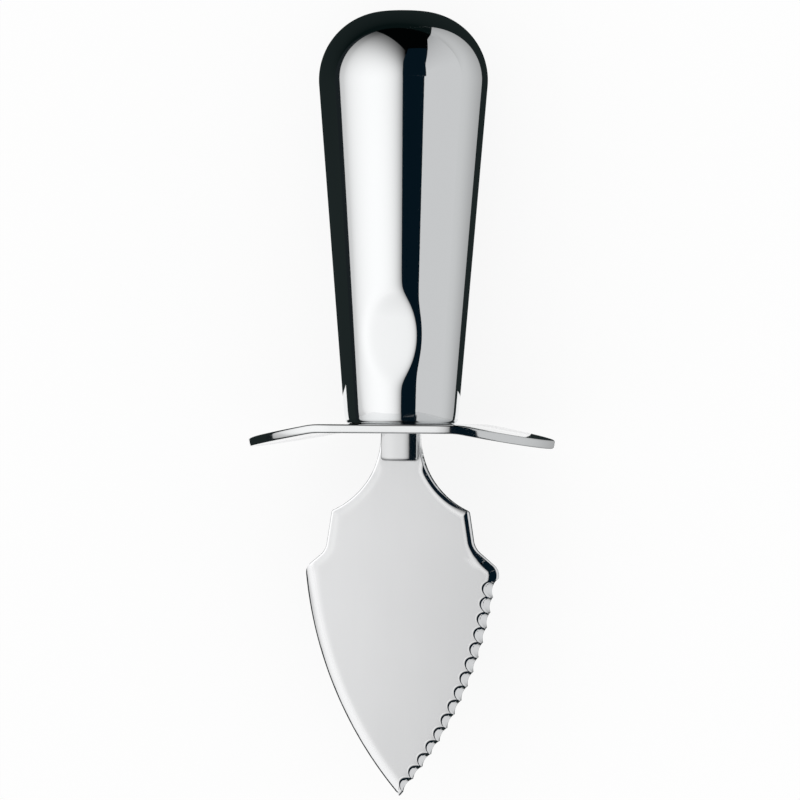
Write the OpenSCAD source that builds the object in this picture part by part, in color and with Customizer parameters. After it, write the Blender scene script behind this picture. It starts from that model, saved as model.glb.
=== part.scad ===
// All-metal oyster knife: hollow bulb-ended handle, bent oval guard and a leaf-shaped blade.
// Every piece is drawn upright in one set of axes: +Z up the handle, -Z down the blade, -Y the front.
// The seat between handle and guard is at height 0. The whole is then laid down as it rests on a table.

/* [Handle] */
// Length of the handle from the guard to the top of the butt
handle_len = 87; // [75:1:110]
// Greatest diameter, in the butt
butt_d = 35.6; // [32:0.2:40]
// Diameter of the narrow end on the guard
handle_end_d = 23.8; // [20:0.1:28]
// Radius of the nearly flat crown of the butt
crown_r = 60; // [45:1:90]
// Radius of the shoulder that joins the crown to the taper
butt_shoulder_r = 14.4; // [12:0.1:15.5]
// Thickness of the pressed shell
shell_wall = 1.2; // [0.8:0.1:2]
// Thickness of the plate that closes the narrow end
end_plate_t = 1.8; // [1.6:0.1:3]
// Rounding of the narrow end
end_round = 1.2; // [0.4:0.1:1.5]
// How far the filler reaches up the handle
filling_len = 62; // [40:1:68]

/* [Thumb dimple] */
// Height of the middle of the dimple above the guard
dimple_up = 18.3; // [16:0.1:40]
// Radius of the pressing roller across the handle
dimple_r = 35; // [25:1:50]
// Depth of the dimple
dimple_deep = 1.2; // [0.4:0.1:1.6]

/* [Guard] */
// Width of the guard from wing to wing, measured flat on
guard_w = 65; // [56:0.2:74]
// Depth of the guard from front to back
guard_d = 44; // [38:0.5:50]
// Thickness of the guard plate
guard_t = 1.8; // [1.2:0.1:2.4]
// Width of the flat middle that carries the handle
guard_flat_w = 29.8; // [27:0.2:36]
// Radius of the bend on the handle side
guard_bend_r = 28; // [15:1:40]
// Slope of the wings towards the blade
wing_slope = 11.5; // [4:0.5:18]

/* [Neck and tang] */
// Width of the neck under the guard
neck_w = 7.8; // [7:0.1:8]
// Thickness of the neck at its crown
neck_t = 6; // [5:0.1:7]
// Radius of the crowned neck faces
neck_crown_r = 4.7; // [4.4:0.1:6]
// Distance from the handle seat to the foot of the neck
neck_end = 7.6; // [5:0.1:10]
// Width of the tang
tang_w = 6; // [5:0.1:6.8]
// Thickness of the tang
tang_t = 3; // [2.4:0.1:3.6]
// Length of the tang above the handle seat
tang_len = 54; // [30:1:58]
// Gap round the tang in the slots of the guard and the end plate
slot_gap = 0.1; // [0.05:0.05:0.3]

/* [Blade outline] */
// Distance from the handle seat to the tip
blade_len = 78.1; // [72:0.1:88]
// Width of the full leaf, measured between the two edge arcs
leaf_w = 41.4; // [39:0.2:43]
// Radius of the two edge arcs
edge_r = 83.5; // [78:0.5:95]
// Width of the blade at its waist under the guard
waist_w = 8.2; // [8.2:0.1:9]
// Distance from the guard's underside to the waist
waist_under = 0.4; // [0.1:0.1:2]
// Radius of the hollow flanks between the waist and the upper shoulders
flank_r = 17.5; // [16:0.1:19]
// Width over the upper shoulders
upper_shoulder_w = 29.3; // [27:0.1:30.5]
// Rounding of the upper shoulders
upper_shoulder_r = 0.8; // [0.3:0.1:1.5]
// Spread of the sides below the upper shoulders
side_spread = 8.7; // [5:0.1:11]
// Fillet in the corner above the main shoulders
inner_fillet_r = 4.1; // [2:0.1:5]
// Lean of the ramps that run out to the main shoulders
ramp_lean = 50; // [44:1:56]
// Distance from the handle seat to the middle of the main shoulder rounding
shoulder_down = 31.6; // [30:0.1:33]
// Rounding of the main shoulders
shoulder_r = 2.8; // [1.5:0.1:3.2]

/* [Blade section] */
// Thickness of the blade plate at the handle seat
blade_t = 2.8; // [2.4:0.1:3.2]
// Thickness at the tip
tip_t = 1.5; // [1.2:0.1:1.8]
// Angle of the plain bevel to the middle plane
bevel_angle = 12.6; // [10:0.2:16]
// Thickness left standing along the edges
edge_land = 0.4; // [0.3:0.05:0.6]

/* [Scalloped edge] */
// Number of scallops
scallop_count = 15; // [8:1:15]
// Angle from one scallop to the next, seen from the middle of the edge arc
scallop_pitch = 2.24; // [2.1:0.01:2.3]
// Angle of the first scallop below the middle of the edge arc
scallop_first = 7.9; // [7.6:0.1:9]
// Depth of a scallop in the outline
scallop_deep = 0.45; // [0.3:0.05:0.6]
// Radius of the wheel that grinds the facets
wheel_r = 1.75; // [1.7:0.05:2.2]
// Angle of the facets to the middle plane
facet_angle = 50; // [44:1:60]
// Lean of the first facet towards the tip, seen from the front
first_lean = 11; // [-8:0.5:14]
// Lean of the last facet towards the tip
last_lean = -5; // [-10:0.5:14]
// Stock left outside the scallops at the shoulder
stock_top = 0.7; // [0.3:0.1:0.9]
// Stock left outside the scallops at the tip
stock_tip = 0.15; // [0.1:0.05:0.3]

/* [Hidden] */
round_fn = 72;
reach = 200;
over = 1;

// Points along a circular arc from angle a to angle b
function arc(c, r, a, b, n) =
    [for (i = [0 : n]) c + r * [cos(a + (b - a) * i / n), sin(a + (b - a) * i / n)]];

// Points of a rounded corner at p between its neighbours before and after
function rounded(before, p, after, r, n) =
    let (u = (before - p) / norm(before - p), v = (after - p) / norm(after - p),
         half = acos(u * v) / 2, mid = (u + v) / norm(u + v), c = p + mid * r / sin(half),
         a = p + u * r / tan(half) - c, b = p + v * r / tan(half) - c,
         from = atan2(a[1], a[0]), turn = atan2(a[0] * b[1] - a[1] * b[0], a * b))
    arc(c, r, from, from + turn, n);

// Crossing of the line through p along d with the line through q along e
function crossing(p, d, q, e) =
    p + d * ((q - p)[0] * e[1] - (q - p)[1] * e[0]) / (d[0] * e[1] - d[1] * e[0]);

function mirrored(points) = [for (i = [len(points) - 1 : -1 : 0]) [-points[i][0], points[i][1]]];

// Handle profile: crown and shoulder are circles that touch, the taper is the line that touches the shoulder
crown_c = [0, handle_len - crown_r];
shoulder_x = butt_d / 2 - butt_shoulder_r;
shoulder_c = [shoulder_x, crown_c[1] + sqrt(pow(crown_r - butt_shoulder_r, 2) - pow(shoulder_x, 2))];
crown_from = atan2(shoulder_c[1] - crown_c[1], shoulder_c[0] - crown_c[0]);
end_to_shoulder = shoulder_c - [handle_end_d / 2, 0];
taper = atan2(end_to_shoulder[0], end_to_shoulder[1]) + asin(butt_shoulder_r / norm(end_to_shoulder));

function handle_r(z) = handle_end_d / 2 + z * tan(taper);

// Outline of the handle from height z up, drawn in by inset all round
function handle_profile(z, inset) = concat(
    [[0, z], [handle_r(z) - inset / cos(taper), z]],
    arc(shoulder_c, butt_shoulder_r - inset, -taper, crown_from, 12),
    [for (p = arc(crown_c, crown_r - inset, crown_from, 90, 6)) if (p[0] > 0.001) p],
    [[0, handle_len - inset]]);

// The roller's middle, set on the line square to the tapered front
dimple_c = [-handle_r(dimple_up) - (dimple_r - dimple_deep) * cos(taper),
            dimple_up - (dimple_r - dimple_deep) * sin(taper)];

// Lying on its back, the knife rests on the guard's rim and on the butt
outline = handle_profile(0, 0);
lie = min([for (p = outline) if (p[1] > end_plate_t) atan2(guard_d / 2 - p[0], p[1])]);
butt_reach = max([for (p = outline) p[1] * cos(lie) + p[0] * sin(lie)]);

// Blade outline: the plain edge is an arc about edge_c, the scalloped edge starts from an arc with more stock
edge_c = [-(edge_r - leaf_w / 2), -blade_len + sqrt(pow(edge_r, 2) - pow(edge_r - leaf_w / 2, 2))];
tip_angle = asin((edge_c[1] + blade_len) / edge_r);
stock_shift = (stock_top - stock_tip) / (sin(tip_angle) - sin(scallop_first));
stock_c = edge_c + [0, stock_shift];
stock_r = edge_r + stock_top + stock_shift * sin(scallop_first);

// Lower crossing of the stock arc with the plain edge's arc
between = [-edge_c[0], edge_c[1]] - stock_c;
along = (pow(norm(between), 2) + pow(stock_r, 2) - pow(edge_r, 2)) / (2 * norm(between));
across = sqrt(pow(stock_r, 2) - pow(along, 2));
tip = stock_c + (between * along + [between[1], -between[0]] * across) / norm(between);
tip_reach = -tip[1] * cos(lie);

// One side of the leaf from the waist past the main shoulder, for an edge arc about c of radius r.
// Below the shoulder it runs straight down outside that arc, which trims it.
function leaf_side(c, r) =
    let (flank_c = [waist_w / 2 + flank_r, -guard_t - waist_under],
         upper_x = upper_shoulder_w / 2,
         upper = [upper_x, flank_c[1] - sqrt(pow(flank_r, 2) - pow(flank_c[0] - upper_x, 2))],
         upper_from = atan2(upper[1] - flank_c[1], upper[0] - flank_c[0]),
         flank = arc(flank_c, flank_r, -180, -180 + (180 + upper_from) * 0.92, 14),
         drop = -shoulder_down - c[1],
         round_c = [c[0] + sqrt(pow(r - shoulder_r, 2) - pow(drop, 2)), -shoulder_down],
         ramp = [sin(ramp_lean), -cos(ramp_lean)],
         ramp_start = round_c + shoulder_r * [cos(ramp_lean), sin(ramp_lean)],
         inner = crossing(upper, [sin(side_spread), -cos(side_spread)], ramp_start, ramp),
         round_to = atan2(drop, round_c[0] - c[0]) + 4,
         shoulder = arc(round_c, shoulder_r, ramp_lean, round_to, 8))
    concat([[waist_w / 2, -guard_t]], flank,
           rounded(flank[len(flank) - 1], upper, inner, upper_shoulder_r, 4),
           rounded(upper, inner, ramp_start, inner_fillet_r, 6),
           shoulder, [[shoulder[8][0], -blade_len - 2]]);

// Half the thickness of the blade plate at height z
thinning = (blade_t - tip_t) / 2 / blade_len;
function half_t(z) = blade_t / 2 + z * thinning;

// Radius of the scallops whose cusps lie on the edge arc
half_pitch = edge_r * sin(scallop_pitch / 2);
scallop_r = (pow(half_pitch, 2) + pow(scallop_deep, 2)) / (2 * scallop_deep);

// Lays an upright piece down: blade along +X, front up, guard and butt on the ground
module laid() {
    translate([(butt_reach - tip_reach) / 2, 0, guard_d / 2 * cos(lie)])
        rotate([0, -lie, 0])
            rotate([-90, 0, 90])
                children();
}

module tang_slot(gap) {
    translate([-tang_w / 2 - gap, -tang_t / 2 - gap, -reach / 2])
        cube([tang_w + 2 * gap, tang_t + 2 * gap, reach]);
}

// The roller that presses the dimple, larger by the given distance
module dimple_roller(more) {
    translate([0, dimple_c[0], dimple_c[1]])
        rotate([0, 90, 0])
            cylinder(r = dimple_r + more, h = reach, center = true, $fn = 180);
}

// Room inside the shell, which stands in behind the dimple too
module cavity() {
    difference() {
        rotate_extrude($fn = round_fn)
            polygon(handle_profile(end_plate_t, shell_wall));
        dimple_roller(shell_wall);
    }
}

module shell() {
    difference() {
        rotate_extrude($fn = round_fn)
            polygon(handle_profile(end_plate_t, 0));
        dimple_roller(0);
        cavity();
    }
}

// Everything on the front side of the seam
module front_side() {
    translate([-reach / 2, -reach, -reach / 2])
        cube(reach);
}

// Front half of the handle shell, with the thumb dimple pressed in
module handle_front_half() {
    color("gainsboro")
        laid()
            intersection() {
                shell();
                front_side();
            }
}

// Plain back half, welded to the front half along the middle plane
module handle_back_half() {
    color("lightgray")
        laid()
            difference() {
                shell();
                front_side();
            }
}

// Plate with a rounded rim that closes the narrow end and sits on the guard
module handle_end_plate() {
    rim_c = [handle_r(end_round) - end_round / cos(taper), end_round];
    color("silver")
        laid()
            difference() {
                rotate_extrude($fn = round_fn)
                    polygon(concat([[0, 0]], arc(rim_c, end_round, -90, -taper, 6),
                                   [[handle_r(end_plate_t), end_plate_t], [0, end_plate_t]]));
                tang_slot(slot_gap);
            }
}

// Filler cast round the tang inside the handle
module handle_filling() {
    color("dimgray")
        laid()
            difference() {
                intersection() {
                    cavity();
                    translate([0, 0, end_plate_t])
                        cylinder(d = butt_d, h = filling_len - end_plate_t, $fn = round_fn);
                }
                translate([-tang_w / 2, -tang_t / 2, -over])
                    cube([tang_w, tang_t, tang_len + over]);
            }
}

// Section of the guard across its width: flat middle, a bend on each side, straight wings
function guard_half_line(top) =
    let (flat_x = guard_flat_w / 2, c = [flat_x, -guard_bend_r],
         r = top ? guard_bend_r : guard_bend_r - guard_t,
         foot = c + r * [sin(wing_slope), cos(wing_slope)])
    concat(arc(c, r, 90, 90 - wing_slope, 6), [foot + guard_w / 2 * [cos(wing_slope), -sin(wing_slope)]]);

module guard_section() {
    over_line = guard_half_line(true);
    under_line = guard_half_line(false);
    polygon(concat(mirrored(over_line), over_line, mirrored([for (p = under_line) [-p[0], p[1]]]),
                   [for (p = under_line) [-p[0], p[1]]]));
}

// Outline of the guard from above: straight front and back, round ends
module guard_outline() {
    end_x = (guard_w - guard_d) / 2;
    for (side = [-1, 1])
        translate([side * end_x, 0])
            circle(d = guard_d, $fn = 120);
    square([2 * end_x, guard_d], center = true);
}

// Bent oval plate between handle and blade
module guard() {
    color("whitesmoke")
        laid()
            difference() {
                intersection() {
                    rotate([90, 0, 0])
                        linear_extrude(height = guard_d + 2 * over, center = true)
                            guard_section();
                    translate([0, 0, -reach / 2])
                        linear_extrude(height = reach)
                            guard_outline();
                }
                tang_slot(slot_gap);
            }
}

// Round disc across the blade about a point of the middle plane
module disc_about(c, r) {
    translate([c[0], 0, c[1]])
        rotate([90, 0, 0])
            cylinder(r = r, h = 4 * blade_t, center = true, $fn = 720);
}

// Flat leaf, thinner towards the tip, before its edges are ground
module leaf_blank() {
    intersection() {
        rotate([90, 0, 0])
            linear_extrude(height = blade_t + 2 * over, center = true)
                polygon(concat(leaf_side(stock_c, stock_r), mirrored(leaf_side(edge_c, edge_r))));
        disc_about([-edge_c[0], edge_c[1]], edge_r);
        disc_about(stock_c, stock_r);
        rotate([90, 0, 90])
            linear_extrude(height = reach, center = true)
                polygon([[-half_t(0), 0], [half_t(0), 0],
                         [half_t(-blade_len - 2), -blade_len - 2],
                         [-half_t(-blade_len - 2), -blade_len - 2]]);
    }
}

// Conical cut about the middle of the plain edge's arc, on the front with side 1 and the back with side -1
module bevel_cut(side) {
    outside = edge_r + 3 * over;
    translate([-edge_c[0], 0, edge_c[1]])
        rotate([90, 0, 0])
            rotate_extrude($fn = 720)
                polygon([[edge_r - (blade_t - edge_land / 2) / tan(bevel_angle), side * blade_t],
                         [outside, side * blade_t],
                         [outside, side * (edge_land / 2 - 3 * over * tan(bevel_angle))]]);
}

function scallop_angle(i) = scallop_first + i * scallop_pitch;

function facet_lean(i) = first_lean + (last_lean - first_lean) * i / (scallop_count - 1);

// Steps round to scallop i, so that +X points out of the edge in the middle of it
module at_scallop(i) {
    translate([edge_c[0], 0, edge_c[1]])
        rotate([0, scallop_angle(i), 0])
            children();
}

// Round bite in the outline
module bite() {
    translate([edge_r - scallop_deep + scallop_r, 0, 0])
        rotate([90, 0, 0])
            cylinder(r = scallop_r, h = blade_t + 2 * over, center = true, $fn = 48);
}

// Inclined round facet, ground from the front down to the land at the back of scallop i
module facet(i) {
    back = half_t(edge_c[1] - edge_r * sin(scallop_angle(i))) - edge_land;
    translate([edge_r - scallop_deep, back, 0])
        rotate([0, facet_lean(i), 0])
            rotate([0, 0, facet_angle])
                translate([0, -wheel_r, 0])
                    rotate([0, 90, 0])
                        cylinder(r = wheel_r, h = 8 * wheel_r, center = true, $fn = 32);
}

// Leaf with its bevel on the left, and on the right its bites, which are punched before the facets are ground
module leaf() {
    difference() {
        difference() {
            leaf_blank();
            bevel_cut(1);
            bevel_cut(-1);
            for (i = [0 : scallop_count - 1])
                at_scallop(i)
                    bite();
        }
        for (i = [0 : scallop_count - 1])
            at_scallop(i)
                facet(i);
    }
}

// Bar with two crowned faces that joins the leaf to the tang
module neck() {
    intersection() {
        crown_bar(-1);
        crown_bar(1);
        translate([-neck_w / 2, -neck_t, -neck_end])
            cube([neck_w, 2 * neck_t, neck_end - guard_t]);
    }
}

// Round bar whose outer face is the front of the neck with side -1, and the back with side 1
module crown_bar(side) {
    translate([0, side * (neck_t / 2 - neck_crown_r), -neck_end])
        cylinder(r = neck_crown_r, h = neck_end, $fn = 64);
}

// Tang, neck and leaf in one piece
module blade() {
    color("lightsteelblue")
        laid() {
            translate([-tang_w / 2, -tang_t / 2, -neck_end])
                cube([tang_w, tang_t, tang_len + neck_end]);
            neck();
            leaf();
        }
}

handle_front_half();
handle_back_half();
handle_end_plate();
handle_filling();
guard();
blade();
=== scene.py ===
import math

import bpy
import numpy as np
from mathutils import Matrix, Vector
from mathutils.kdtree import KDTree


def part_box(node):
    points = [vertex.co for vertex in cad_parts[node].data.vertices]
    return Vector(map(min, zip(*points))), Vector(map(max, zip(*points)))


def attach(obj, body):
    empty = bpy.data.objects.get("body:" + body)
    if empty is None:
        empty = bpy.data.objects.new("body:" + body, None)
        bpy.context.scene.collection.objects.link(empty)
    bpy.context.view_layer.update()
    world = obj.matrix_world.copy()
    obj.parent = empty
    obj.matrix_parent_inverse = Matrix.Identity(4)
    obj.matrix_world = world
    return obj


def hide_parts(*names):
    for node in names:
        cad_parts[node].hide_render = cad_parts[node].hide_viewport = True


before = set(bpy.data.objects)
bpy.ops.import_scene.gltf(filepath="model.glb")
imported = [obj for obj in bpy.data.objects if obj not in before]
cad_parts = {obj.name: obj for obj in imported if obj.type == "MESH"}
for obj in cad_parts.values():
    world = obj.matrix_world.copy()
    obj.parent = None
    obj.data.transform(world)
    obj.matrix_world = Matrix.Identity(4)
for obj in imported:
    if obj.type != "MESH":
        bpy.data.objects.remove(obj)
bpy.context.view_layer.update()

# Handle.
# A hollow bulb of stainless steel: two pressed halves and a closing plate, welded, ground flush
# and buffed to one unbroken skin, with a shallow thumb dimple pressed into the front. Every piece
# is drawn upright, handle up and front towards -Y, and then laid down as the knife rests.
MM = 0.001
HANDLE_LEN = 87 * MM
BUTT_R = 17.8 * MM
NARROW_R = 11.9 * MM
CROWN_R = 60 * MM
BUTT_SHOULDER_R = 14.4 * MM
END_ROUND = 1.2 * MM
DIMPLE_UP = 18.3 * MM
DIMPLE_R = 35 * MM
DIMPLE_DEEP = 1.2 * MM
DIMPLE_BLEND = 0.22 * MM
FOOT_IN = 0.22 * MM
FOOT_H = 2.9 * MM
GUARD_D = 44 * MM

crown_z = HANDLE_LEN - CROWN_R
shoulder_x = BUTT_R - BUTT_SHOULDER_R
shoulder_z = crown_z + math.sqrt((CROWN_R - BUTT_SHOULDER_R) ** 2 - shoulder_x**2)
crown_from = math.atan2(shoulder_z - crown_z, shoulder_x)
taper = math.atan2(shoulder_x - NARROW_R, shoulder_z) + math.asin(
    BUTT_SHOULDER_R / math.hypot(shoulder_x - NARROW_R, shoulder_z)
)


def handle_radius(z):
    return NARROW_R + z * math.tan(taper) - FOOT_IN * max(1 - z / FOOT_H, 0) ** 2


def arc(cx, cz, r, start, stop, steps):
    turns = [start + (stop - start) * i / steps for i in range(steps + 1)]
    return [(cx + r * math.cos(a), cz + r * math.sin(a)) for a in turns]


def handle_outline():
    rim_x = handle_radius(END_ROUND) - END_ROUND / math.cos(taper)
    points = [(0, 0), (rim_x * 0.5, 0)]
    points += arc(rim_x, END_ROUND, END_ROUND, -math.pi / 2, -taper, 8)
    foot = points[-1][1]
    top = shoulder_z - BUTT_SHOULDER_R * math.sin(taper)
    rows = 140
    heights = [foot + (top - foot) * i / rows for i in range(1, rows)]
    points += [(handle_radius(z), z) for z in heights]
    points += arc(shoulder_x, shoulder_z, BUTT_SHOULDER_R, -taper, crown_from, 44)
    points += arc(0, crown_z, CROWN_R, crown_from, math.pi / 2, 14)[1:-1]
    return points + [(0, HANDLE_LEN)]


def lying_angle():
    return min(
        math.atan2(GUARD_D / 2 - x, z) for x, z in handle_outline() if z > 2 * MM
    )


lie = lying_angle()
butt_reach = max(z * math.cos(lie) + x * math.sin(lie) for x, z in handle_outline())
laid = (
    Matrix.Translation(
        (
            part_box("handle_back_half")[0][0] + butt_reach,
            0,
            GUARD_D / 2 * math.cos(lie),
        )
    )
    @ Matrix.Rotation(-lie, 4, "Y")
    @ Matrix.Rotation(math.pi / 2, 4, "Z")
    @ Matrix.Rotation(-math.pi / 2, 4, "X")
)


def lay_down(piece):
    bpy.ops.object.mode_set(mode="OBJECT")
    bpy.ops.object.select_all(action="DESELECT")
    bpy.context.view_layer.objects.active = piece
    piece.select_set(True)
    piece.matrix_world = laid
    bpy.ops.object.transform_apply(location=True, rotation=True, scale=True)


def start_piece(name):
    piece = bpy.context.active_object
    piece.name = name
    piece.data.name = name
    bpy.ops.object.mode_set(mode="EDIT")
    return piece


def draw_line(name, points):
    bpy.ops.object.select_all(action="DESELECT")
    bpy.ops.mesh.primitive_plane_add(size=MM)
    piece = start_piece(name)
    bpy.ops.mesh.merge(type="CENTER")
    last = Vector((0, 0, 0))
    first = Vector((points[0][0], 0, points[0][1]))
    bpy.ops.transform.translate(value=first - last)
    last = first
    for x, z in points[1:]:
        here = Vector((x, 0, z))
        bpy.ops.mesh.extrude_region_move(
            TRANSFORM_OT_translate={"value": here - last}
        )
        last = here
    return piece


def close_and_smooth(piece, angle):
    bpy.ops.object.mode_set(mode="EDIT")
    bpy.ops.mesh.select_all(action="SELECT")
    bpy.ops.mesh.remove_doubles(threshold=0.001 * MM)
    bpy.ops.mesh.normals_make_consistent(inside=False)
    bpy.ops.object.mode_set(mode="OBJECT")
    bpy.ops.object.select_all(action="DESELECT")
    piece.select_set(True)
    bpy.ops.object.shade_smooth_by_angle(angle=angle)


class Sock:
    """A shader value that adds Math nodes as it is used in an expression."""

    def __init__(self, mat, link):
        self.mat, self.link = mat, link

    def _with(self, op, a, b):
        return self.mat.node(
            "ShaderNodeMath", {"operation": op}, [a, b]
        )

    def __add__(self, other):
        return self._with("ADD", self, other)

    def __radd__(self, other):
        return self._with("ADD", other, self)

    def __sub__(self, other):
        return self._with("SUBTRACT", self, other)

    def __rsub__(self, other):
        return self._with("SUBTRACT", other, self)

    def __mul__(self, other):
        return self._with("MULTIPLY", self, other)

    def __rmul__(self, other):
        return self._with("MULTIPLY", other, self)

    def __truediv__(self, other):
        return self._with("DIVIDE", self, other)

    def __rtruediv__(self, other):
        return self._with("DIVIDE", other, self)


class Finish:
    """A material under construction, with its one surface shader."""

    def __init__(self, name):
        self.material = bpy.data.materials.new(name)
        self.material.use_nodes = True
        self.tree = self.material.node_tree
        self.shader = self.tree.nodes["Principled BSDF"]

    def node(self, kind, settings=None, values=(), out=0):
        node = self.tree.nodes.new(kind)
        for key, value in (settings or {}).items():
            if key == "stops":
                ramp = node.color_ramp
                while len(ramp.elements) < len(value):
                    ramp.elements.new(0.5)
                for element, (place, colour) in zip(ramp.elements, value):
                    element.position = place
                    element.color = (*colour, 1)
            else:
                setattr(node, key, value)
        pairs = values.items() if isinstance(values, dict) else enumerate(values)
        for key, value in pairs:
            self.feed(node.inputs[key], value)
        return Sock(self, node.outputs[out])

    def feed(self, socket, value):
        if isinstance(value, Sock):
            self.tree.links.new(value.link, socket)
        else:
            socket.default_value = value

    def place(self, scale):
        spot = self.node("ShaderNodeTexCoord", out="Object")
        return self.node(
            "ShaderNodeMapping", None, {"Vector": spot, "Scale": scale}
        )

    def set(self, **values):
        for key, value in values.items():
            self.feed(self.shader.inputs[key.replace("_", " ")], value)


def mirror_steel(name, tint, rough):
    """Buffed stainless steel: cloudy buffing marks in the gloss and hairlines too fine to count."""
    steel = Finish(name)
    cloud = steel.node(
        "ShaderNodeTexNoise",
        None,
        {"Vector": steel.place((60, 90, 90)), "Scale": 1.0, "Detail": 3.0},
        out="Fac",
    )
    hair = steel.node(
        "ShaderNodeTexNoise",
        None,
        {"Vector": steel.place((400, 6000, 6000)), "Scale": 1.0, "Detail": 2.0},
        out="Fac",
    )
    bump = steel.node(
        "ShaderNodeBump",
        None,
        {"Strength": 0.012, "Distance": 0.00002, "Height": hair},
        out="Normal",
    )
    steel.set(
        Base_Color=(*tint, 1),
        Metallic=1.0,
        Roughness=cloud * (0.6 * rough) + hair * (0.5 * rough) + 0.45 * rough,
        Normal=bump,
    )
    return steel.material


handle = draw_line("handle_skin", handle_outline())
bpy.ops.mesh.select_all(action="SELECT")
bpy.ops.mesh.spin(steps=256, angle=2 * math.pi, center=(0, 0, 0), axis=(0, 0, 1))
close_and_smooth(handle, math.radians(40))

roller_y = -handle_radius(DIMPLE_UP) - (DIMPLE_R - DIMPLE_DEEP) * math.cos(taper)
roller_z = DIMPLE_UP - (DIMPLE_R - DIMPLE_DEEP) * math.sin(taper)
for vertex in handle.data.vertices:
    away = Vector((0, vertex.co.y - roller_y, vertex.co.z - roller_z))
    inside = DIMPLE_R - away.length
    if abs(inside) < 6 * MM and vertex.co.y < 0:
        push = (
            inside
            if inside > 20 * DIMPLE_BLEND
            else DIMPLE_BLEND * math.log1p(math.exp(inside / DIMPLE_BLEND))
        )
        vertex.co += away.normalized() * push
handle.data.update()
handle.data.materials.append(
    mirror_steel("mirror_handle", (0.86, 0.87, 0.875), 0.035)
)
lay_down(handle)
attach(handle, "root")
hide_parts("handle_front_half", "handle_back_half", "handle_end_plate")

# Filler.
# The cement that holds the tang in the hollow handle. It is never seen, because the steel closes
# round it, and it keeps its plain form from the frame.
filler = Finish("filler_cement")
grit = filler.node(
    "ShaderNodeTexNoise",
    None,
    {"Vector": filler.place((900, 900, 900)), "Scale": 1.0, "Detail": 4.0},
    out="Fac",
)
filler.set(
    Base_Color=filler.node(
        "ShaderNodeValToRGB",
        {"stops": [(0.3, (0.26, 0.25, 0.23)), (0.7, (0.42, 0.4, 0.37))]},
        [grit],
    ),
    Roughness=0.85 + grit * 0.1,
)
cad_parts["handle_filling"].data.materials.clear()
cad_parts["handle_filling"].data.materials.append(filler.material)

# Guard.
# An oval plate of stainless steel sheet, blanked with a slot for the tang, bent down a little at
# both ends and buffed all over, which rounds its rim. It is clamped between handle and neck.
GUARD_W = 65 * MM
GUARD_T = 1.8 * MM
GUARD_FLAT = 13.6 * MM
GUARD_BEND_R = 16 * MM
WING_SLOPE = math.radians(10.5)
RIM_ROUND = 0.45 * MM
BEND_STEP = 1 * MM

wing_from = GUARD_FLAT + GUARD_BEND_R * math.sin(WING_SLOPE)
bend_end = GUARD_FLAT + GUARD_BEND_R * WING_SLOPE
blank_w = bend_end + (GUARD_W / 2 - wing_from) / math.cos(WING_SLOPE)

bpy.ops.object.select_all(action="DESELECT")
bpy.ops.mesh.primitive_circle_add(
    vertices=256, radius=GUARD_D / 2, fill_type="NGON"
)
guard = start_piece("guard_plate")
bpy.ops.object.mode_set(mode="OBJECT")
for vertex in guard.data.vertices:
    vertex.co.x += math.copysign(blank_w - GUARD_D / 2, vertex.co.x)
bpy.ops.object.mode_set(mode="EDIT")
bpy.ops.mesh.select_all(action="SELECT")
bpy.ops.mesh.extrude_region_move(TRANSFORM_OT_translate={"value": (0, 0, -GUARD_T)})
bpy.ops.mesh.select_all(action="SELECT")
bpy.ops.mesh.normals_make_consistent(inside=False)
bpy.ops.mesh.select_all(action="DESELECT")
bpy.ops.object.mode_set(mode="OBJECT")
bpy.ops.object.modifier_add(type="BEVEL")
rim = guard.modifiers[-1]
rim.width = RIM_ROUND
rim.segments = 6
rim.limit_method = "ANGLE"
rim.angle_limit = math.radians(60)
bpy.ops.object.modifier_apply(modifier=rim.name)
bpy.ops.object.mode_set(mode="EDIT")
for i in range(-32, 33):
    bpy.ops.mesh.select_all(action="SELECT")
    bpy.ops.mesh.bisect(plane_co=(i * BEND_STEP + 0.0001 * MM, 0, 0), plane_no=(1, 0, 0))
bpy.ops.object.mode_set(mode="OBJECT")
for vertex in guard.data.vertices:
    x, below = abs(vertex.co.x), vertex.co.z
    turn = min(max(x - GUARD_FLAT, 0) / GUARD_BEND_R, WING_SLOPE)
    run = max(x - bend_end, 0)
    flat = min(x, GUARD_FLAT)
    c, s = math.cos(turn), math.sin(turn)
    vertex.co.x = math.copysign(flat + (GUARD_BEND_R + below) * s + run * c, vertex.co.x)
    vertex.co.z = below * c - run * s - GUARD_BEND_R * (1 - c)
guard.data.update()
close_and_smooth(guard, math.radians(40))
guard.data.materials.append(mirror_steel("mirror_guard", (0.81, 0.82, 0.825), 0.08))
lay_down(guard)
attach(guard, "root")
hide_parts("guard")

# Leaf of the blade.
# Forged and ground from one bar with the neck and the tang. The left edge has a plain soft bevel,
# the right one fifteen scallops ground from the front, and buffing has rolled the face's borders.
# It is worked out in millimetres, which become metres where its points are placed.
BLADE_LEN = 78.1
LEAF_W = 41.4
EDGE_R = 83.5
WAIST_W = 8.2
WAIST_Z = -2.2
FLANK_R = 17.5
UPPER_SHOULDER_W = 29.3
UPPER_SHOULDER_R = 0.8
SIDE_SPREAD = math.radians(8.7)
INNER_FILLET_R = 4.1
RAMP_LEAN = math.radians(50)
SHOULDER_DOWN = 31.6
SHOULDER_R = 2.8
BLADE_T = 2.8
TIP_T = 1.5
EDGE_LAND = 0.4
SCALLOPS = 15
SCALLOP_PITCH = math.radians(2.24)
SCALLOP_FIRST = math.radians(7.9)
SCALLOP_DEEP = 0.45
WHEEL_R = 1.75
FACET = math.radians(50)
FIRST_LEAN = math.radians(11)
LAST_LEAN = math.radians(-5)
STOCK_TOP = 0.7
STOCK_TIP = 0.15
RIM_R = 0.42
LEFT_RIM_R = 0.12
RIM_W = 1.7
RIM_SLOPE = 0.3
CROWN = 0.00034
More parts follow.
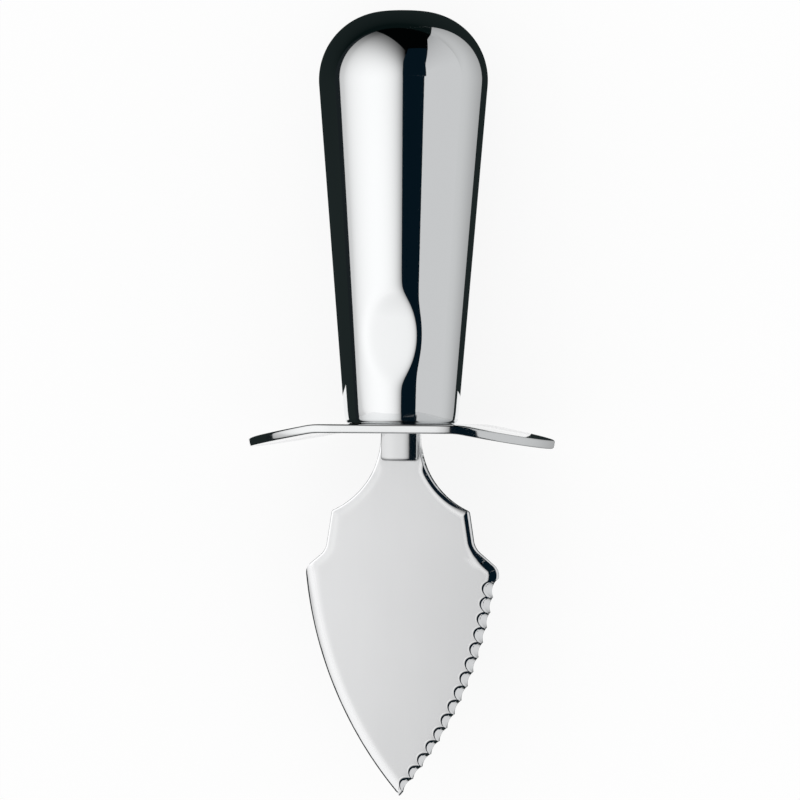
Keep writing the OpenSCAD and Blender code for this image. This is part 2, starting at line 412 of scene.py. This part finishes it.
RIM_BLEND = 0.25
BEVEL_R = 7.3
EDGE_HALF = 0.4
EDGE_BEVEL = 0.32
FACET_DROP = 0.14
FACET_ROLL = 0.75
RIDGE_ROUND = 0.2
GUARD_UNDER = -1.8

edge_x = -(EDGE_R - LEAF_W / 2)
edge_z = -BLADE_LEN + math.sqrt(EDGE_R**2 - edge_x**2)
tip_turn = math.asin((edge_z + BLADE_LEN) / EDGE_R)
stock_shift = (STOCK_TOP - STOCK_TIP) / (math.sin(tip_turn) - math.sin(SCALLOP_FIRST))
stock_z = edge_z + stock_shift
stock_r = EDGE_R + STOCK_TOP + stock_shift * math.sin(SCALLOP_FIRST)
half_pitch = EDGE_R * math.sin(SCALLOP_PITCH / 2)
bite_r = (half_pitch**2 + SCALLOP_DEEP**2) / (2 * SCALLOP_DEEP)


def corner(before, at, after, r, steps):
    """Points of a rounding of radius r at a corner, in order from before to after."""
    before, at, after = Vector(before), Vector(at), Vector(after)
    u, v = (before - at).normalized(), (after - at).normalized()
    half = math.acos(u.dot(v)) / 2
    centre = at + (u + v).normalized() * r / math.sin(half)
    a = at + u * r / math.tan(half) - centre
    b = at + v * r / math.tan(half) - centre
    start = math.atan2(a.y, a.x)
    turn = math.atan2(a.x * b.y - a.y * b.x, a.dot(b))
    return arc(centre.x, centre.y, r, start, start + turn, steps)


def upper_side(cz, r):
    """The side from the waist to the main shoulder, for an edge arc of radius r at height cz."""
    flank_x = WAIST_W / 2 + FLANK_R
    upper_x = UPPER_SHOULDER_W / 2
    upper = (upper_x, WAIST_Z - math.sqrt(FLANK_R**2 - (flank_x - upper_x) ** 2))
    upper_turn = math.atan2(upper[1] - WAIST_Z, upper[0] - flank_x)
    flank = [(WAIST_W / 2, GUARD_UNDER)] + arc(
        flank_x,
        WAIST_Z,
        FLANK_R,
        -math.pi,
        -math.pi + (math.pi + upper_turn) * 0.95,
        60,
    )
    drop = -SHOULDER_DOWN - cz
    round_x = edge_x + math.sqrt((r - SHOULDER_R) ** 2 - drop**2)
    round_to = math.atan2(drop, round_x - edge_x)
    start_x = round_x + SHOULDER_R * math.cos(RAMP_LEAN)
    start_z = -SHOULDER_DOWN + SHOULDER_R * math.sin(RAMP_LEAN)
    side_slope, ramp_slope = math.tan(SIDE_SPREAD), math.tan(RAMP_LEAN)
    inner_z = (
        upper[0] + side_slope * upper[1] - start_x - ramp_slope * start_z
    ) / (side_slope - ramp_slope)
    inner = (upper[0] + side_slope * (upper[1] - inner_z), inner_z)
    ramp_start = (start_x, start_z)
    return (
        flank
        + corner(flank[-1], upper, inner, UPPER_SHOULDER_R, 12)
        + corner(upper, inner, ramp_start, INNER_FILLET_R, 16)
        + arc(round_x, -SHOULDER_DOWN, SHOULDER_R, RAMP_LEAN, round_to, 20)
    )


def scallop_at(turn):
    """Angle from the middle of the nearest scallop, and that scallop's own angle."""
    nearest = round((turn - SCALLOP_FIRST) / SCALLOP_PITCH)
    own = SCALLOP_FIRST + min(max(nearest, 0), SCALLOPS - 1) * SCALLOP_PITCH
    return turn - own, own


def stock_reach(turn):
    """Distance from the edge arcs' middle to the right border as it was before the scallops."""
    across = stock_shift * math.cos(turn)
    return math.sqrt(stock_r**2 - across**2) - stock_shift * math.sin(turn)


def bitten_radius(turn):
    off, own = scallop_at(turn)
    reach = stock_reach(turn)
    middle = EDGE_R - SCALLOP_DEEP + bite_r
    inside = bite_r**2 - (middle * math.sin(off)) ** 2
    if inside <= 0:
        return reach
    return min(reach, middle * math.cos(off) - math.sqrt(inside))


plain_side = upper_side(edge_z, EDGE_R)
stock_side = upper_side(stock_z, stock_r)
start_turn = math.atan2(edge_z - plain_side[-1][1], plain_side[-1][0] - edge_x)
plain_side += arc(edge_x, edge_z, EDGE_R, -start_turn, -tip_turn, 900)[1:]
start_turn = math.atan2(edge_z - stock_side[-1][1], stock_side[-1][0] - edge_x)
first_bite = len(stock_side)
for i in range(1, 2401):
    turn = start_turn + (tip_turn - start_turn) * i / 2400
    r = bitten_radius(turn)
    stock_side.append((edge_x + r * math.cos(turn), edge_z - r * math.sin(turn)))

left_x, left_z = np.array(plain_side)[::-1].T
right_x, right_z = np.array(stock_side)[::-1].T


def every(points, step):
    """Points along a line no further apart than step."""
    dense = []
    for (ax, az), (bx, bz) in zip(points, points[1:]):
        parts = max(1, math.ceil(math.hypot(bx - ax, bz - az) / step))
        dense += [(ax + (bx - ax) * i / parts, az + (bz - az) * i / parts) for i in range(parts)]
    return dense


border_points = every([(-x, z) for x, z in plain_side], 0.05) + every(stock_side[:first_bite], 0.05)
for i in range(1200):
    turn = start_turn + (tip_turn - start_turn) * i / 1200
    r = stock_reach(turn)
    border_points.append((edge_x + r * math.cos(turn), edge_z - r * math.sin(turn)))
border = KDTree(len(border_points))
for i, (x, z) in enumerate(border_points):
    border.insert((x, z, 0), i)
border.balance()


def ease(value, start, stop):
    """Nought at start, one at stop, with a soft way between."""
    t = min(max((value - start) / (stop - start), 0), 1)
    return t * t * (3 - 2 * t)


def round_off(gap, r):
    return r - math.sqrt(r * r - (r - gap) ** 2) if gap < r else 0


def rim_drop(gap, wide, r):
    """Fall of a face near its border: a soft buffed slope some way in, then a round edge."""
    soft = RIM_SLOPE * RIM_BLEND * math.log1p(math.exp(min((wide - gap) / RIM_BLEND, 40)))
    return soft + round_off(gap, r)


def half_thickness(z):
    return BLADE_T / 2 + z * (BLADE_T - TIP_T) / 2 / BLADE_LEN


def facet_cut(x, z, number):
    """How far back one scallop's facet lies at a point, and well in front beside the wheel."""
    own = SCALLOP_FIRST + number * SCALLOP_PITCH
    lean = FIRST_LEAN + (LAST_LEAN - FIRST_LEAN) * number / (SCALLOPS - 1)
    foot = EDGE_R - SCALLOP_DEEP
    right, up = x - edge_x - foot * math.cos(own), z - edge_z + foot * math.sin(own)
    way = own + lean
    out = right * math.cos(way) - up * math.sin(way)
    along = right * math.sin(way) + up * math.cos(way)
    if abs(along) >= WHEEL_R:
        return -9.0
    w = (out - WHEEL_R * math.sin(FACET)) * math.sin(FACET) + math.sqrt(WHEEL_R**2 - along**2)
    own_half = half_thickness(edge_z - EDGE_R * math.sin(own))
    return own_half - EDGE_LAND - WHEEL_R * math.cos(FACET) + w / math.cos(FACET)


def face_y(x, z, side):
    """Height of a face at a point, and how satin it is: side -1 is the front, 1 the back."""
    half = half_thickness(z)
    gap = border.find((x, z, 0))[2]
    below = ease(z, -29, -32)
    if x < 0:
        edge_gap = max(EDGE_R - math.hypot(x + edge_x, z - edge_z), 0)
        bevel_w = math.sqrt((half - EDGE_HALF) * (2 * BEVEL_R - half + EDGE_HALF))
        bevel = BEVEL_R - math.sqrt(BEVEL_R**2 - max(bevel_w - edge_gap, 0) ** 2)
        rim = rim_drop(gap, RIM_W * ease(z, -6, -10.5) - 0.3, LEFT_RIM_R) * (1 - below)
        drop = max(bevel, rim) + below * max(EDGE_BEVEL - edge_gap, 0)
        satin = ease(gap, 0.25, 0.5 + 2.4 * below)
    else:
        wide = RIM_W * ease(z, -6, -10.5) - 0.6 + 0.8 * ease(z, -26, -30)
        fade = 1 - 0.8 * ease(z, -34, -40)
        drop = rim_drop(gap, wide, RIM_R) * fade
        satin = ease(gap, wide * fade - 0.1, wide * fade + 1.0)
    if side > 0:
        return half - min(drop + CROWN * x * x, half - 0.07), satin
    ground = 0
    lowest = half - 0.1
    if x > 0 and z < -29:
        turn = math.atan2(edge_z - z, x - edge_x)
        nearest = round((turn - SCALLOP_FIRST) / SCALLOP_PITCH)
        cuts = sorted(
            facet_cut(x, z, i) for i in range(max(nearest - 1, 0), min(nearest + 2, SCALLOPS))
        )
        if cuts and cuts[-1] > -5:
            cut = cuts[-1]
            if len(cuts) > 1:
                cut += RIDGE_ROUND * math.log1p(math.exp((cuts[-2] - cut) / RIDGE_ROUND))
            near = 1 + (cut + half) / FACET_ROLL
            roll = FACET_DROP * min(max(near, 0), 1.4) ** 2
            satin = min(satin, 1 - ease(near, -0.3, 0.2))
            drop += roll
            ground = cut + half
    drop = min(max(drop + CROWN * x * x, ground), half + lowest)
    return drop - half, satin


def left_border(x, z, slope):
    """Where the line through a point with that slope meets the left border."""
    far, near = -30.0, 0.0
    for _ in range(40):
        middle = (far + near) / 2
        if middle > -np.interp(z + slope * (middle - x), left_z, left_x):
            near = middle
        else:
            far = middle
    return middle, z + slope * (middle - x)


first_cusp = SCALLOP_FIRST - SCALLOP_PITCH / 2
last_cusp = first_cusp + SCALLOPS * SCALLOP_PITCH
rows = [
    (-np.interp(z, left_z, left_x), z, np.interp(z, right_z, right_x), z)
    for z in np.concatenate(
        [
            np.linspace(GUARD_UNDER, -12, 34, endpoint=False),
            np.linspace(-12, -15, 14, endpoint=False),
        ]
    )
]
cusp_z = edge_z - bitten_radius(first_cusp) * math.sin(first_cusp)
for z in np.linspace(-15, cusp_z, 110, endpoint=False):
    slope = -math.tan(first_cusp) * ease(z, -15, cusp_z)
    x = np.interp(z, right_z, right_x)
    rows.append((*left_border(x, z, slope), x, z))
for turn in np.concatenate(
    [
        np.linspace(first_cusp, last_cusp, SCALLOPS * 34, endpoint=False),
        np.linspace(last_cusp, tip_turn, 12),
    ]
):
    r = bitten_radius(turn)
    x, z = edge_x + r * math.cos(turn), edge_z - r * math.sin(turn)
    rows.append((*left_border(x, z, -math.tan(turn)), x, z))
from_left = 5.2 * np.linspace(0, 1, 28) ** 1.7
from_right = np.concatenate(
    [3.9 * np.linspace(1, 0.12, 32), 0.468 * np.linspace(1, 0, 12)[1:] ** 1.6]
)


def section(left, left_up, right, right_up):
    """Points (x, y, z, satin) once round the leaf along a row, front first and then the back."""
    width = max(math.hypot(right - left, right_up - left_up), 0.002)
    shrink = min(1, width / 10.2) / width
    shares = np.concatenate(
        [
            from_left * shrink,
            np.linspace(5.2 * shrink, 1 - 3.9 * shrink, 14)[1:-1],
            1 - from_right * shrink,
        ]
    )
    spots = [(left + (right - left) * t, left_up + (right_up - left_up) * t) for t in shares]
    back = spots[::-1][::3]
    if back[-1] != spots[0]:
        back.append(spots[0])
    ring = []
    for side, line in ((-1, spots), (1, back)):
        for x, z in line:
            y, satin = face_y(x, z, side)
            ring.append((x, y, z, satin))
    return ring


first = section(*rows[0])
bpy.ops.object.select_all(action="DESELECT")
bpy.ops.mesh.primitive_grid_add(
    x_subdivisions=len(first), y_subdivisions=len(rows) - 1, size=1
)
leaf = start_piece("blade_leaf")
bpy.ops.object.mode_set(mode="OBJECT")
across = len(first) + 1
grain = leaf.data.attributes.new("satin", "FLOAT", "POINT")
for j, row in enumerate(rows):
    ring = section(*row)
    ring.append(ring[0])
    for i, (x, y, z, satin) in enumerate(ring):
        leaf.data.vertices[j * across + i].co = (x * MM, y * MM, z * MM)
        grain.data[j * across + i].value = satin
leaf.data.update()
close_and_smooth(leaf, math.radians(17))
blade_steel = Finish("ground_blade")
brushed = blade_steel.node("ShaderNodeAttribute", {"attribute_name": "satin"}, out="Fac")
lines = blade_steel.node(
    "ShaderNodeTexNoise",
    None,
    {"Vector": blade_steel.place((30, 4000, 1000)), "Scale": 1.0, "Detail": 3.0},
    out="Fac",
)
cloud = blade_steel.node(
    "ShaderNodeTexNoise",
    None,
    {"Vector": blade_steel.place((50, 90, 90)), "Scale": 1.0, "Detail": 3.0},
    out="Fac",
)
tone = 0.95 - brushed * 0.145
blade_steel.set(
    Base_Color=blade_steel.node("ShaderNodeCombineColor", None, [tone, tone * 1.005, tone * 1.012]),
    Metallic=1.0,
    Roughness=0.05 + brushed * (cloud * 0.06 + lines * 0.05 + 0.25),
    Normal=blade_steel.node(
        "ShaderNodeBump",
        None,
        {"Strength": 0.02, "Distance": 0.00002, "Height": lines * brushed},
        out="Normal",
    ),
)
leaf.data.materials.append(blade_steel.material)
lay_down(leaf)
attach(leaf, "root")
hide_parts("blade")

# Neck and tang.
# The thick part of the same forging: a crowned bar under the guard that steps down onto the leaf,
# and the flat tang that runs up through the guard into the handle's filler.
NECK_W = 7.8 * MM
NECK_T = 6 * MM
NECK_END = 7.75 * MM
NECK_ROUND = 0.8 * MM
NECK_CROWN = 0.66 * MM
NECK_CORNER = 0.3 * MM
TANG_W = 6 * MM
TANG_T = 3 * MM
TANG_LEN = 54 * MM

crowned = [
    (NECK_W / 2 * i / 24, NECK_T / 2 - NECK_CROWN * abs(i / 24) ** 2.8) for i in range(-24, 25)
]
right_corner = corner(crowned[-2], crowned[-1], (NECK_W / 2, 0), NECK_CORNER, 8)
crown = [(x, y) for x, y in crowned if abs(x) < right_corner[0][0]]
left_corner = [(-x, y) for x, y in right_corner[::-1]]
front = left_corner + crown + right_corner
neck_ring = front + [(x, -y) for x, y in front[::-1]]
bpy.ops.object.select_all(action="DESELECT")
bpy.ops.mesh.primitive_circle_add(vertices=len(neck_ring), radius=1, fill_type="NOTHING")
neck = start_piece("blade_neck")
bpy.ops.object.mode_set(mode="OBJECT")
for vertex, (x, y) in zip(neck.data.vertices, neck_ring):
    vertex.co = (x, y, GUARD_UNDER * MM)
bpy.ops.object.mode_set(mode="EDIT")
bpy.ops.mesh.select_all(action="SELECT")
straight = NECK_END + GUARD_UNDER * MM - NECK_ROUND
bpy.ops.mesh.extrude_region_move(TRANSFORM_OT_translate={"value": (0, 0, -straight)})
steps = 6
for i in range(steps):
    a, b = math.pi / 2 * i / steps, math.pi / 2 * (i + 1) / steps
    half_x = NECK_W / 2 - NECK_ROUND * (1 - math.cos(a))
    half_y = NECK_T / 2 - NECK_ROUND * (1 - math.cos(a))
    pull = NECK_ROUND * (math.cos(a) - math.cos(b))
    bpy.ops.mesh.extrude_region_move(
        TRANSFORM_OT_translate={"value": (0, 0, -NECK_ROUND * (math.sin(b) - math.sin(a)))}
    )
    bpy.ops.transform.resize(value=(1 - pull / half_x, 1 - pull / half_y, 1))
bpy.ops.mesh.edge_face_add()
bpy.ops.object.mode_set(mode="OBJECT")
bpy.ops.object.select_all(action="DESELECT")
bpy.ops.mesh.primitive_cube_add(
    size=1,
    location=(0, 0, (TANG_LEN - NECK_END / 2) / 2),
    scale=(TANG_W, TANG_T, TANG_LEN + NECK_END / 2),
)
tang = bpy.context.active_object
bpy.ops.object.transform_apply(location=True, rotation=True, scale=True)
bpy.ops.object.modifier_add(type="BEVEL")
tang.modifiers[-1].width = 0.3 * MM
tang.modifiers[-1].segments = 2
bpy.ops.object.modifier_apply(modifier=tang.modifiers[-1].name)
neck.select_set(True)
bpy.context.view_layer.objects.active = neck
bpy.ops.object.join()
close_and_smooth(neck, math.radians(40))
neck.data.materials.append(mirror_steel("polished_neck", (0.67, 0.675, 0.68), 0.1))
lay_down(neck)
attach(neck, "root")
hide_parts("blade")

# Camera.
# It looks square at the knife from ten degrees round to the side of the scallops, with the
# knife a little right of the picture's middle, and the picture turned a third of a degree.
CAMERA_ROUND = math.radians(10)
CAMERA_FAR = 0.9
CAMERA_HEIGHT = 5.1 * MM
PICTURE_W = 168.5 * MM
KNIFE_RIGHT_OF_MIDDLE = 0.31 * MM
ROLL = math.radians(0.35)

knife_right = laid.to_3x3() @ Vector((1, 0, 0))
knife_back = laid.to_3x3() @ Vector((0, 1, 0))
knife_up = laid.to_3x3() @ Vector((0, 0, 1))
towards_camera = (
    knife_right * math.sin(CAMERA_ROUND) - knife_back * math.cos(CAMERA_ROUND)
)
camera_right = knife_up.cross(towards_camera).normalized()
turn = Matrix((camera_right, knife_up, towards_camera)).transposed()
look_at = laid @ Vector((0, 0, CAMERA_HEIGHT)) - camera_right * KNIFE_RIGHT_OF_MIDDLE
bpy.ops.object.camera_add(location=look_at + towards_camera * CAMERA_FAR)
camera = bpy.context.active_object
camera.rotation_euler = (
    Matrix.Rotation(ROLL, 3, towards_camera) @ turn
).to_euler()
camera.data.sensor_width = 36
camera.data.lens = 36 * CAMERA_FAR / PICTURE_W
bpy.context.scene.camera = camera

# Floor and light.
# White paper on a table under an even white sky. Round the knife stands a tent of studio panels
# and dark cloths, as for polished metal. They show only in its reflections and light nothing.
TENT = 0.6
FLOOR_GLOW = 0.87
NIGHT = (0.002, 0.0075, 0.013)
BLACK = (0.0006, 0.001, 0.001)
SIDE_X = 0.246
LENS_LEFT = (-0.0605, 0.492)
CORNER_LOW = (-0.2345, -0.0164)
CLOTH_EDGE = 0.032
WINDOW = 0.01
LEFT_WINDOW = 0.016

scene = bpy.context.scene
scene.view_settings.view_transform = "Standard"
scene.world = scene.world or bpy.data.worlds.new("sky")
scene.world.use_nodes = True
sky = scene.world.node_tree.nodes["Background"]
sky.inputs["Color"].default_value = (1, 1, 1, 1)
sky.inputs["Strength"].default_value = 0.95

bpy.ops.object.select_all(action="DESELECT")
bpy.ops.mesh.primitive_plane_add(size=6)
floor = bpy.context.active_object
floor.name = "floor"
paper = Finish("white_paper")
paper.set(Base_Color=(0.96, 0.96, 0.96, 1), Roughness=0.9)
rays = [
    paper.node("ShaderNodeLightPath", out=kind)
    for kind in ("Is Camera Ray", "Is Glossy Ray", "Is Transmission Ray")
]
glow = paper.node("ShaderNodeEmission", None, {"Color": (1, 1, 1, 1), "Strength": 1.0})
lit = paper.node(
    "ShaderNodeMixShader",
    None,
    [
        (rays[0] + rays[1] + rays[2]) * FLOOR_GLOW,
        Sock(paper, paper.shader.outputs[0]),
        glow,
    ],
)
paper.tree.links.new(lit.link, paper.tree.nodes["Material Output"].inputs["Surface"])
floor.data.materials.append(paper.material)


def panel(name, corners, grey, on_knife=True):
    """A flat panel seen only in the polished steel. Its corners are (right, near, up) in metres,
    as the camera sees the knife with the handle up, or plain places over the floor."""
    bpy.ops.object.select_all(action="DESELECT")
    bpy.ops.mesh.primitive_plane_add(size=MM)
    piece = bpy.context.active_object
    piece.name = name
    for vertex, i in zip(piece.data.vertices, (0, 1, 3, 2)):
        right, near, up = corners[i]
        if on_knife:
            spot = camera_right * right + towards_camera * near + knife_up * up
            vertex.co = laid.translation + spot
        else:
            vertex.co = (right, near, up)
    piece.data.update()
    paint = Finish(name + "_paint")
    paint.set(Base_Color=(0, 0, 0, 1), Roughness=1.0, Emission_Strength=1.0)
    paint.shader.inputs["Specular IOR Level"].default_value = 0
    if callable(grey):
        grey = grey(paint)
    else:
        grey = (*grey, 1)
    paint.set(Emission_Color=grey)
    piece.data.materials.append(paint.material)
    piece.visible_camera = False
    piece.visible_diffuse = False
    piece.visible_shadow = False
    return piece


def upright(name, a, b, low, high, grey):
    return panel(name, [(*a, low), (*b, low), (*b, high), (*a, high)], grey)


def place_along(paint, axis):
    spot = paint.node("ShaderNodeTexCoord", out="Object")
    return paint.node("ShaderNodeSeparateXYZ", None, [spot], out=axis)


def fade(paint, value, start, stop, low, high):
    """From low to high as a value goes from start to stop, and level beyond them."""
    limits = {"From Min": start, "From Max": stop, "To Min": low, "To Max": high}
    return paint.node("ShaderNodeMapRange", None, {"Value": value, **limits})


def maths(paint, operation, *values):
    return paint.node("ShaderNodeMath", {"operation": operation}, values)


def colour(paint, red, green, blue):
    return paint.node("ShaderNodeCombineColor", None, [red, green, blue])


def soft_white(paint):
    """A lamp's light through white cloth: brightest across the middle, dimmer at the edges."""
    up, x = place_along(paint, "Z"), place_along(paint, "X")
    lift = fade(paint, x, 0.015, 0.06, 0.0, 0.095)
    low = maths(paint, "EXPONENT", (lift + 0.07 - up) * 33.0) * 0.227
    low = maths(paint, "MINIMUM", low, lift * 2.2 + 0.22)
    far = maths(paint, "MAXIMUM", x * (-1 / 0.3), 0.0)
    off = up - 0.21
    bright = (1.13 - off * off * 10.0 - low) * fade(paint, x, 0.07, 0.3, 1.0, 0.62)
    grey = bright / (far * far * far + 1.0)
    return colour(paint, grey, grey, grey)


def side_white(paint):
    """The fainter light of the far side of the tent, which fades towards the butt."""
    grey = fade(paint, place_along(paint, "X"), -0.6, -0.16, 0.39, 0.655)
    return colour(paint, grey, grey * 1.007, grey * 1.015)


def grey_paper_painted_shade(paint):
    """Pale grey paper with painted shade, which darkens it towards the knife and towards the butt.
    """
    painted_butt_shade = fade(paint, place_along(paint, "X"), -0.25, -0.1, 0.76, 1.0)
    near = maths(paint, "EXPONENT", (0.04 - place_along(paint, "Y")) * 35.0)
    grey = (0.64 - near * 0.178) * painted_butt_shade
    return colour(paint, grey, grey * 1.01, grey * 1.015)


def dark_cloth(paint):
    """Dark cloth that lies deeper in the shade towards the butt."""
    near = fade(paint, place_along(paint, "X"), -0.2, -0.04, 0.0, 1.0)
    pale = near * 0.0135 + 0.0065
    return colour(paint, near * 0.011 + 0.003, pale, pale)


def cloth(name, x_from, x_to, y_from, y_to, grey):
    ends = [(x_from, y_from), (x_to, y_from), (x_to, y_to), (x_from, y_to)]
    return panel(name, [(x, y, 0.0004) for x, y in ends], grey, on_knife=False)


upright("panel_left", (0.042, 0.594), CORNER_LOW, -TENT, TENT, soft_white)
upright("flag_left_low", CORNER_LOW, (-0.27, -0.095), -TENT, TENT, (0.012, 0.016, 0.018))
upright("panel_right", (SIDE_X, 0.4627), (SIDE_X, -0.1), -TENT, 0.08, side_white)
panel(
    "panel_right_upper",
    [(SIDE_X, 0.4627, 0.08), (SIDE_X, -0.1, 0.08), (SIDE_X, -0.1, 0.262), (SIDE_X, 0.41, 0.262)],
    side_white,
)
panel(
    "panel_right_butt",
    [(SIDE_X, 0.41, 0.262), (SIDE_X, -0.1, 0.262), (SIDE_X, -0.1, TENT), (SIDE_X, 0.17, 0.58)],
    side_white,
)
upright("flag_by_lens", LENS_LEFT, (0.23, 0.4327), -TENT, 0.08, NIGHT)
panel(
    "flag_by_lens_butt",
    [(*LENS_LEFT, 0.08), (0.33, 0.4, 0.08), (0.33, 0.4, TENT), (0.07, 0.492, TENT)],
    NIGHT,
)
for name, end, shade in (("flag_butt", TENT, BLACK), ("flag_tip", -TENT, NIGHT)):
    panel(name, [(-2, -0.2, end), (2, -0.2, end), (2, 2, end), (-2, 2, end)], shade)
cloth("cloth_dark_butt", -TENT, 0, -0.27, CLOTH_EDGE, dark_cloth)
cloth("cloth_dark_blade", LEFT_WINDOW, TENT, -0.27, CLOTH_EDGE, dark_cloth)
cloth("cloth_dark_under", WINDOW, LEFT_WINDOW, -0.016, CLOTH_EDGE, dark_cloth)
cloth("cloth_dark_left", 0, LEFT_WINDOW, -0.27, -0.047, dark_cloth)
cloth("cloth_dark_right", 0, WINDOW, 0.0245, CLOTH_EDGE, dark_cloth)
corner_spots = [(-TENT, CLOTH_EDGE), (-0.147, CLOTH_EDGE), (-0.37, 0.146), (-TENT, 0.262)]
panel("cloth_dark_corner", [(*spot, 0.0006) for spot in corner_spots], dark_cloth, False)
# The grey paper seen in the steel carries painted shade near the knife and towards the butt.
cloth("cloth_grey", -TENT, TENT, CLOTH_EDGE, 0.5, grey_paper_painted_shade)
